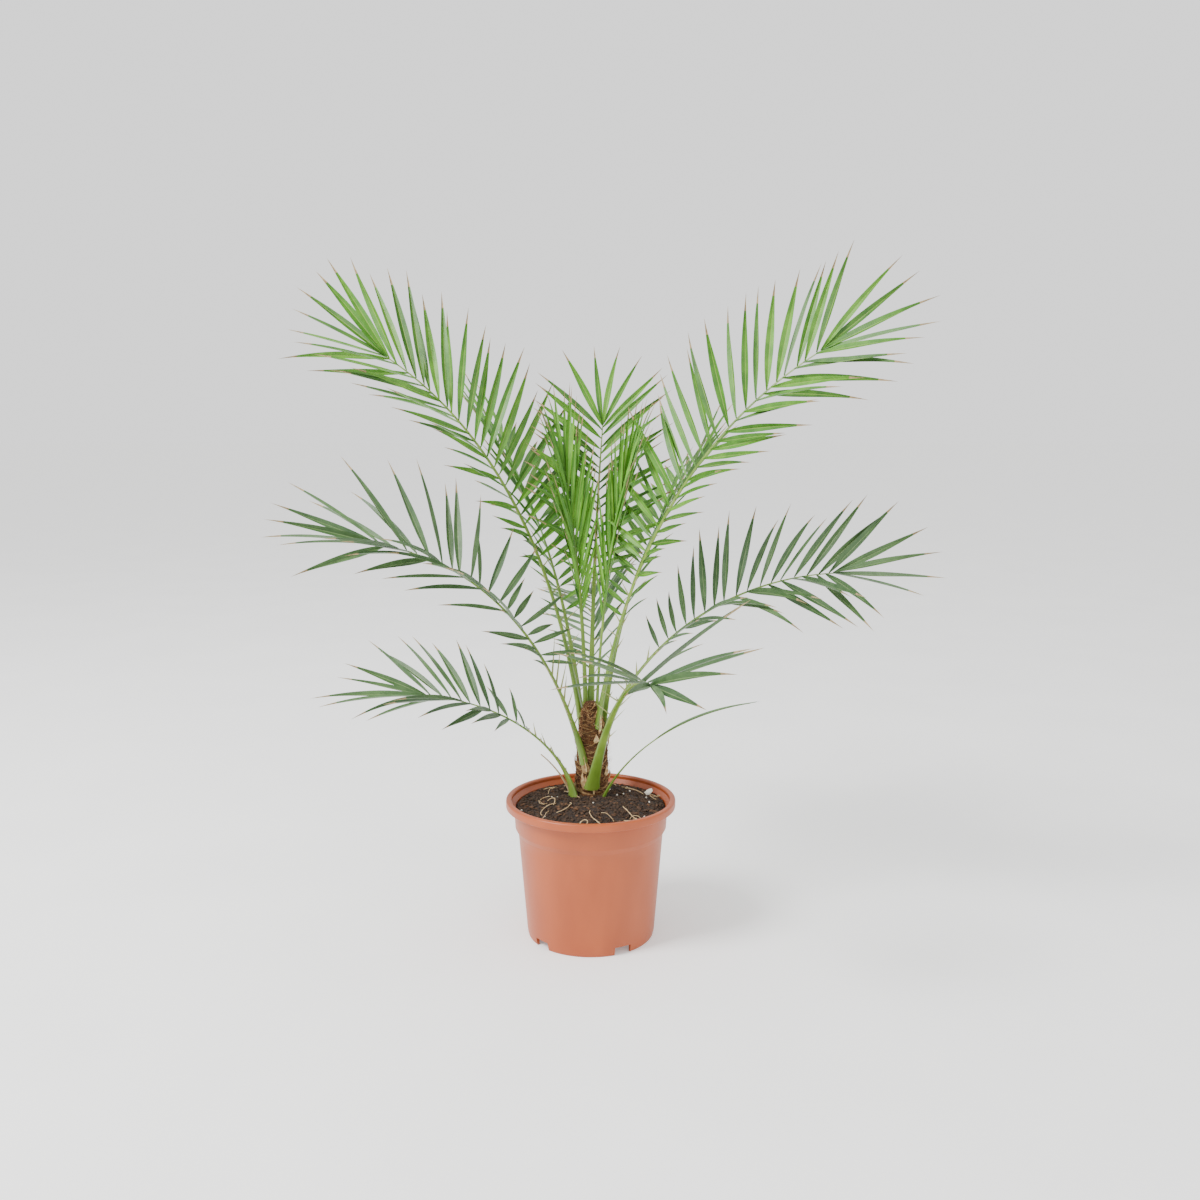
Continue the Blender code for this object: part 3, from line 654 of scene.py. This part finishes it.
def add_strap_blade():
    """The seedling leaf: one folded strap along its rib, with a short split at its end."""
    share = np.linspace(0, 1, STRAP_STATIONS)
    on_rib = STRAP_LEAF.blade_from + (1 - STRAP_LEAF.blade_from) * share
    places, _, sideways, upward = rib(STRAP_LEAF, on_rib)
    width = STRAP_HALF_WIDTH * (STRAP_END_WIDTH + (1 - STRAP_END_WIDTH) * np.sin(pi * share**STRAP_SKEW))
    column = LEAFLET_COLUMNS[None, :, None]
    across = column * sideways[:, None] + STRAP_FOLD * np.abs(column) * upward[:, None]
    points = places[:, None] + width[:, None, None] * across
    onward = unit(places[-1] - places[-2])
    points[-1, [0, 1]] += STRAP_POINTS[0] * onward
    points[-1, [3, 4]] += STRAP_POINTS[1] * onward
    uv = np.stack(np.broadcast_arrays((LEAFLET_COLUMNS + 1) / 2, share[:, None]), -1)
    faces = grid_faces(1, STRAP_STATIONS, len(LEAFLET_COLUMNS))
    add_piece("strap_leaf_fold", points, faces, [GREENS["dull"][2]], ["strap_leaf_blade"], uv=uv)


def ripple(x, y, size):
    """Uneven relief from -1 to 1: plane waves of about the given length with seeded bearings and phases."""
    count = RIPPLE_WAVES
    bearing = rng.uniform(0, 2 * pi, count)
    wave = 2 * pi / (size * rng.uniform(*RIPPLE_RANGE, count))
    phase = rng.uniform(0, 2 * pi, count)
    sum_of = np.sin(wave * (x[..., None] * np.cos(bearing) + y[..., None] * np.sin(bearing)) + phase).sum(-1)
    return np.clip(sum_of / np.sqrt(count) / RIPPLE_PEAK, -1, 1)


def soil_height(radius):
    """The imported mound's height at a distance from the pot's axis."""
    middle = (MOUND_RADIUS + SOIL_EDGE_RADIUS) / 2
    return np.interp(radius, (MOUND_RADIUS, middle, SOIL_EDGE_RADIUS),
                     (SOIL_TOP, (SOIL_TOP + 2 * SOIL_EDGE) / 3, SOIL_EDGE))


def add_soil():
    """A crumbly skin over the compost: rings of points with two sizes of relief, closed at the middle."""
    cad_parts["soil"].data.materials.clear()
    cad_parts["soil"].data.materials.append(COMPOST)
    radius = np.linspace(0, SOIL_EDGE_RADIUS, SOIL_RINGS)[:, None]
    turn = np.linspace(0, 2 * pi, SOIL_SIDES, endpoint=False)[None]
    x, y = radius * np.cos(turn), radius * np.sin(turn)
    z = soil_height(radius) + SOIL_SKIN
    z = z + CLOD_HEIGHT * ripple(x, y, CLOD_SIZE) + GRAIN_HEIGHT * ripple(x, y, GRAIN_SIZE)
    z = np.where(radius > 0, z, z[:1, :1])
    z[-1] = SOIL_EDGE - SKIN_TUCK
    points = np.stack([x, y, z], -1)
    faces = grid_faces(1, SOIL_RINGS, SOIL_SIDES, closed=True)
    add_piece("compost_surface", points, faces, [COMPOST], closed=True)


def blobs(centres, sizes, flatness, roughness):
    """Uneven crumbs: icosahedra turned at random, stretched, and pushed in and out at each corner."""
    golden = (1 + 5**0.5) / 2
    corners = unit(np.array([(-1, golden, 0), (1, golden, 0), (-1, -golden, 0), (1, -golden, 0),
                             (0, -1, golden), (0, 1, golden), (0, -1, -golden), (0, 1, -golden),
                             (golden, 0, -1), (golden, 0, 1), (-golden, 0, -1), (-golden, 0, 1)]))
    triangles = np.array([(0, 11, 5), (0, 5, 1), (0, 1, 7), (0, 7, 10), (0, 10, 11), (1, 5, 9), (5, 11, 4),
                          (11, 10, 2), (10, 7, 6), (7, 1, 8), (3, 9, 4), (3, 4, 2), (3, 2, 6), (3, 6, 8),
                          (3, 8, 9), (4, 9, 5), (2, 4, 11), (6, 2, 10), (8, 6, 7), (9, 8, 1)])
    count = len(centres)
    shape = corners[None] * (1 + rng.uniform(-roughness, roughness, (count, len(corners), 1)))
    shape = shape * np.stack([np.ones(count), rng.uniform(*CRUMB_BREADTH, count), flatness], -1)[:, None]
    turn, tip = rng.uniform(0, 2 * pi, (2, count))
    tip = CRUMB_TIP * np.sin(tip)
    a, b, c, d = np.cos(turn), np.sin(turn), np.cos(tip), np.sin(tip)
    turned = np.stack([np.stack([a, -b * c, b * d], -1), np.stack([b, a * c, -a * d], -1),
                       np.stack([0 * a, d, c], -1)], -2)
    points = centres[:, None] + sizes[:, None, None] * np.einsum("nij,nkj->nki", turned, shape)
    faces = (np.arange(count)[:, None, None] * len(corners) + triangles).reshape(-1, 3)
    return points, faces


def scattered(count, lift):
    """Places spread evenly over the compost, clear of the trunk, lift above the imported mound."""
    radius = SOIL_EDGE_RADIUS * LITTER_REACH * np.sqrt(rng.uniform(0, 1, count))
    turn = rng.uniform(0, 2 * pi, count)
    place = np.stack([radius * np.cos(turn), radius * np.sin(turn), soil_height(radius) + lift], -1)
    return place[np.hypot(place[:, 0], place[:, 1] - TRUNK_Y) > TRUNK_RADIUS + LITTER_GAP]


def add_litter():
    """Crumbs, bark flakes and perlite on the compost, each kind a piece of its own."""
    # Name, count, size in millimetres, flatness, unevenness, finish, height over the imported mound
    kinds = (("compost_crumbs", 2600, (0.7, 2.3), (0.6, 1.0), 0.3, CRUMB, 0.0018),
             ("bark_flakes", 260, (1.2, 3.4), (0.2, 0.45), 0.3, BARK, 0.0022),
             ("perlite_specks", 26, (0.7, 1.5), (0.7, 1.0), 0.2, PERLITE, 0.0026))
    for name, count, size_mm, flat, rough, material, lift in kinds:
        centres = scattered(count, lift)
        sizes = rng.uniform(*size_mm, len(centres)) * MM
        reach = np.hypot(centres[:, 0], centres[:, 1]) + sizes
        centres = centres[reach < SOIL_EDGE_RADIUS]
        sizes = sizes[reach < SOIL_EDGE_RADIUS]
        points, faces = blobs(centres, sizes, rng.uniform(*flat, len(centres)), rough)
        add_piece(name, points, faces, [material])
    points, faces = blobs(np.array([CHIP_PLACE]), np.array([CHIP_SIZE]), np.array([CHIP_FLATNESS]),
                          CHIP_UNEVENNESS)
    add_piece("lime_chip", points, faces, [PERLITE])


def add_roots():
    """Curly root threads that lie on the compost: each path turns at a slowly changing rate."""
    count, stations = ROOTS, ROOT_STATIONS
    start = scattered(ROOT_STARTS, ROOT_LIFT)[:count]
    heading = rng.uniform(0, 2 * pi, (count, 1))
    change = rng.normal(0, ROOT_WANDER, (count, stations)) + rng.uniform(-ROOT_CURL, ROOT_CURL, (count, 1))
    heading = heading + np.cumsum(change, axis=1)
    step = rng.uniform(*ROOT_STEP_MM, (count, 1)) * MM
    x = start[:, :1] + np.cumsum(step * np.cos(heading), axis=1)
    y = start[:, 1:2] + np.cumsum(step * np.sin(heading), axis=1)
    inside = np.minimum(1, ROOT_REACH / np.hypot(x, y))
    x, y = x * inside, y * inside
    arch = ROOT_ARCH * np.sin(np.linspace(0, pi, stations)) * rng.uniform(*ROOT_ARCH_RANGE, (count, 1))
    z = soil_height(np.hypot(x, y)) + ROOT_LIFT + arch
    paths = np.stack([x, y, z], -1)
    side, up = carried(paths, np.array([0.0, 0.0, 1.0]))
    width = rng.uniform(*ROOT_WIDTH_MM, (count, 1)) * MM * np.ones((1, stations))
    points, faces = tubes(paths, side, up, width, 1.0, ROOT_SIDES)
    add_piece("root_threads", points, faces, [ROOT], closed=True)


def trunk_radius(share):
    """Flared at the foot, drawn in to a blunt tip."""
    taper = 1 - TRUNK_TAPER * share - TRUNK_TIP_TAPER * share**TRUNK_TIP_POWER
    return TRUNK_FLARE * np.exp(-share * FLARE_FADE) + TRUNK_RADIUS * taper


def on_trunk(turn, share, lift):
    """Points on the trunk at a bearing and a share of its height, lift above its surface."""
    radius = trunk_radius(share) + lift
    x = TRUNK_LEAN * np.sin(pi * share) + radius * np.cos(turn)
    return np.stack([x, TRUNK_Y + radius * np.sin(turn), TRUNK_FOOT + (TRUNK_TOP - TRUNK_FOOT) * share], -1)


def add_trunk():
    """Overlapping leaf bases: a spiral of raised scales, each with a lip above, over rough relief."""
    share = np.linspace(0, 1, TRUNK_RINGS)[:, None]
    turn = np.linspace(0, 2 * pi, TRUNK_SIDES, endpoint=False)[None]
    climb = share * SCALE_TURNS + turn / (2 * pi)
    scale = np.abs(np.sin(turn * SCALE_LOBES + np.floor(climb) * SCALE_SHIFT))
    girth = turn * TRUNK_RADIUS
    height = share * RELIEF_SPAN
    lift = SCALE_LIFT * (climb % 1) * (SCALE_LOWEST + (1 - SCALE_LOWEST) * scale)
    lift = lift + BARK_HEIGHT * ripple(girth, height, BARK_SIZE)
    lift = lift + STRAND_HEIGHT * ripple(girth * STRAND_SQUEEZE, height, STRAND_SIZE)
    points = on_trunk(turn + 0 * share, share + 0 * turn, lift)
    points[-1] = points[-1].mean(axis=0)
    faces = grid_faces(1, TRUNK_RINGS, TRUNK_SIDES, closed=True)
    add_piece("trunk_bark", points, faces, [FIBRE_MAT], ["trunk"], closed=True)


def add_fibres():
    """Flat strands wound over the trunk both ways, and loose hairs that stand off it."""
    along = np.linspace(0, 1, FIBRE_STATIONS)[None]
    axis = np.array([0, TRUNK_Y, 0])
    # Name, count, sweep about the trunk, climb, lift off it, stand of the free end, width
    kinds = (("wound_fibres", 900, (0.4, 2.4), (-0.10, 0.14), (0.0004, 0.0016), 0.0, (0.22, 0.75)),
             ("loose_fibres", 420, (0.15, 0.9), (0.02, 0.16), (0.0002, 0.0010), 0.009, (0.10, 0.24)))
    for name, count, sweep, climb, lift, stand, width_mm in kinds:
        side = rng.choice((-1, 1), (count, 1))
        turn = rng.uniform(0, 2 * pi, (count, 1)) + side * rng.uniform(*sweep, (count, 1)) * along
        share = rng.uniform(*FIBRE_FEET, (count, 1)) + rng.uniform(*climb, (count, 1)) * along
        off = rng.uniform(*lift, (count, 1))
        off = off + stand * rng.uniform(*FIBRE_STAND, (count, 1)) * along**FIBRE_STAND_POWER
        off = off + FIBRE_WAVE * np.sin(along * rng.uniform(*FIBRE_WAVES, (count, 1)))
        paths = on_trunk(turn, np.clip(share, 0, FIBRE_TOP), off)
        across, up = carried(paths, unit(paths - axis))
        taper = 1 - along**FIBRE_TAPER_POWER * FIBRE_TAPER
        width = rng.uniform(*width_mm, (count, 1)) * MM * taper
        points, faces = tubes(paths, across, up, width, FIBRE_FLATNESS, FIBRE_SIDES)
        per_strand = len(faces) // count
        chosen = np.repeat(rng.integers(0, 5, count) >= BROWN_OF_FIVE, per_strand)
        add_piece(name, points, faces, [FIBRE_BROWN, FIBRE_TAN], chosen=chosen)


def add_torn_bases():
    """Dry remains of the first leaves: folded, pointed scales that hug the trunk's foot and neck."""
    count = TORN_BASES
    turn = rng.uniform(0, 2 * pi, count)
    at_foot = rng.uniform(*TORN_AT_FOOT, count)
    at_neck = rng.uniform(*TORN_AT_NECK, count)
    share = np.where(np.arange(count) % 3 > 0, at_foot, at_neck)
    foot = on_trunk(turn, share, TORN_LIFT)
    out = np.stack([np.cos(turn), np.sin(turn), 0 * turn], -1)
    direction = unit(np.array([0, 0, 1.0]) + out * rng.uniform(*TORN_LEAN, (count, 1)))
    length = rng.uniform(*TORN_LENGTH, count)
    half_width = rng.uniform(*TORN_HALF_WIDTH, count)
    twist = rng.uniform(-TORN_TWIST, TORN_TWIST, count)
    points, faces, uv = folded_leaves(foot, direction, out, length, half_width,
                                      np.full(count, TORN_BOW), np.zeros(count), twist)
    add_piece("torn_leaf_bases", points, faces, [TORN_BASE], uv=uv)


def arc(middle, radius, start, end, count=6):
    """Points on a circle about middle, from one angle to another in degrees."""
    turn = np.radians(np.linspace(start, end, count))
    return list(zip(middle[0] + radius * np.cos(turn), middle[1] + radius * np.sin(turn)))


def pot_profile():
    """The pot's section as one loop: down the outside, under the foot, and up the inside."""
    lip_foot = POT_HEIGHT - LIP_HEIGHT
    band_foot = lip_foot - BAND_HEIGHT
    body_top = band_foot - BAND_STEP
    inner_floor = FOOT_HEIGHT + FLOOR_THICKNESS
    body_slope = (BODY_RADIUS_TOP - BODY_RADIUS_FOOT) / (body_top - FOOT_ROUND)
    outside = arc((RIM_INNER_RADIUS + LIP_ROUND, POT_HEIGHT - LIP_ROUND), LIP_ROUND, 180, 90)
    outside += arc((RIM_RADIUS - LIP_ROUND, POT_HEIGHT - LIP_ROUND), LIP_ROUND, 90, 0)
    outside += arc((RIM_RADIUS - LIP_ROUND / 2, lip_foot + LIP_ROUND / 2), LIP_ROUND / 2, 0, -90, 4)
    edge_in, edge_up = BAND_EDGE
    outside += [(BAND_RADIUS_TOP + EDGE_BREAK, lip_foot), (BAND_RADIUS_TOP, lip_foot - EDGE_BREAK)]
    outside += [(BAND_RADIUS_FOOT, band_foot + edge_up), (BAND_RADIUS_FOOT - edge_in, band_foot)]
    outside += [(BODY_RADIUS_TOP + edge_in, body_top + EDGE_BREAK), (BODY_RADIUS_TOP, body_top)]
    outside += [(BODY_RADIUS_FOOT + body_slope * up, FOOT_ROUND + up)
                for up in np.linspace(WALL_HEIGHT, 0, WALL_RINGS)]
    outside += [(FOOT_OUTER_RADIUS + (BODY_RADIUS_FOOT - FOOT_OUTER_RADIUS) * s**0.5, FOOT_ROUND * s)
                for s in FOOT_CURVE]
    underside = [
        (FOOT_INNER_RADIUS, 0.0),
        (FOOT_INNER_RADIUS, FOOT_HEIGHT),
        (CENTRE_DISC_RADIUS + FLOOR_THICKNESS / 2, FOOT_HEIGHT),
        (CENTRE_DISC_RADIUS, 0.0),
        (0.0, 0.0),
    ]
    inside = [
        (0.0, FLOOR_THICKNESS),
        (CENTRE_DISC_RADIUS - FLOOR_THICKNESS, FLOOR_THICKNESS),
        (CENTRE_DISC_RADIUS - FLOOR_THICKNESS / 2, inner_floor),
        (BODY_RADIUS_FOOT - POT_WALL, inner_floor),
        (BODY_RADIUS_TOP - POT_WALL, body_top),
        (BAND_RADIUS_FOOT - POT_WALL, band_foot),
        (BAND_RADIUS_TOP - POT_WALL, lip_foot),
        (RIM_INNER_RADIUS, POT_HEIGHT - LIP_ROUND * 2),
    ]
    return np.array(outside + underside + inside)


def cut(obj, cutter):
    """Takes the cutter's shape out of the object and removes the cutter."""
    modifier = obj.modifiers.new("cut", "BOOLEAN")
    modifier.operation = "DIFFERENCE"
    modifier.solver = "EXACT"
    modifier.object = cutter
    result = bpy.data.meshes.new_from_object(obj.evaluated_get(bpy.context.evaluated_depsgraph_get()))
    obj.modifiers.clear()
    obj.data = result
    bpy.data.objects.remove(cutter, do_unlink=True)


def add_pot():
    """The turned pot, with notches through its foot ring and drain holes in its raised channel."""
    profile = pot_profile()
    turn = np.linspace(0, 2 * pi, POT_SIDES, endpoint=False)
    loop = np.vstack([profile, profile[:1]])
    points = np.stack([loop[:, :1] * np.cos(turn), loop[:, :1] * np.sin(turn), loop[:, 1:] + 0 * turn], -1)
    pot = add_piece("pot_shell", points, grid_faces(1, len(loop), POT_SIDES, closed=True), [POT_PLASTIC],
                    ["pot"], closed=True)
    reach = (FOOT_INNER_RADIUS + BODY_RADIUS_FOOT) / 2
    for bearing in NOTCH_BEARINGS:
        bpy.ops.mesh.primitive_cube_add(size=1, location=(0, 0, 0))
        notch = bpy.context.object
        turned = Matrix.Rotation(radians(bearing), 4, "Z") @ Matrix.Translation((reach, 0, 0))
        notch.data.transform(turned @ Matrix.Diagonal((*NOTCH_SIZE, 1)))
        cut(pot, notch)
    for bearing in 2 * pi * (np.arange(DRAIN_HOLES) + 0.5) / DRAIN_HOLES:
        place = (DRAIN_CIRCLE_RADIUS * cos(bearing), DRAIN_CIRCLE_RADIUS * sin(bearing), FOOT_HEIGHT)
        bpy.ops.mesh.primitive_cylinder_add(
            vertices=DRAIN_HOLE_SIDES, radius=DRAIN_HOLE_RADIUS, depth=DRAIN_CUTTER_DEPTH, location=place
        )
        cut(pot, bpy.context.object)
    pot.data.shade_smooth()
    pot.data.set_sharp_from_angle(angle=radians(POT_SHARP_ANGLE))


def add_floor():
    """A wide pale floor, part of the stage."""
    bpy.ops.mesh.primitive_plane_add(size=FLOOR_SIZE, location=(0, 0, 0))
    floor = bpy.context.object
    floor.name = "floor"
    paper = mottled("matt white backdrop paper", "f4f4f3", "f8f8f7", 200, 0.85, 0.01, 40)
    paper.node_tree.nodes["Principled BSDF"].inputs["Emission Color"].default_value = (1, 1, 1, 1)
    paper.node_tree.nodes["Principled BSDF"].inputs["Emission Strength"].default_value = FLOOR_GLOW
    floor.data.materials.append(paper)


def add_light(name, place, size, energy):
    """A square soft light that faces the middle of the plant."""
    lamp = bpy.data.lights.new(name, "AREA")
    lamp.size = size
    lamp.energy = energy
    obj = bpy.data.objects.new(name, lamp)
    obj.location = place
    obj.rotation_euler = (Vector((0, 0, PLANT_MIDDLE)) - obj.location).to_track_quat("-Z", "Y").to_euler()
    bpy.context.scene.collection.objects.link(obj)


def add_studio():
    """A large soft light at the upper left, a weak one at the right, and an even white surround."""
    add_light("key", *KEY_LIGHT)
    add_light("fill", *FILL_LIGHT)
    world = bpy.data.worlds.new("white surround")
    world.use_nodes = True
    tree = world.node_tree
    seen = add_node(tree, "LightPath").outputs["Is Camera Ray"]
    strength = add_node(tree, "MapRange", values={"To Min": SURROUND_LIGHT, "To Max": SURROUND_SEEN},
                        links={"Value": seen})
    tree.nodes["Background"].inputs["Color"].default_value = (1, 1, 1, 1)
    tree.links.new(strength.outputs[0], tree.nodes["Background"].inputs["Strength"])
    bpy.context.scene.world = world


def add_camera():
    """The photograph's camera."""
    lens = bpy.data.cameras.new("camera")
    lens.sensor_width = SENSOR_MM
    lens.lens = SENSOR_MM * FOCAL_PIXELS / (2 * IMAGE_MIDDLE)
    camera = bpy.data.objects.new("camera", lens)
    camera.location = CAMERA_PLACE
    camera.rotation_euler = (pi / 2 - CAMERA_PITCH, 0, 0)
    bpy.context.scene.collection.objects.link(camera)
    bpy.context.scene.camera = camera


add_camera()
add_pot()
add_soil()
add_litter()
add_roots()
add_trunk()
add_fibres()
add_torn_bases()
for palm_frond in FRONDS:
    add_rib(palm_frond)
    add_leaflets(palm_frond)
    if palm_frond.spines:
        add_spines(palm_frond)
add_rib(STRAP_LEAF)
add_strap_blade()
add_rib(OLD_LEAF, ROOT)
add_floor()
add_studio()
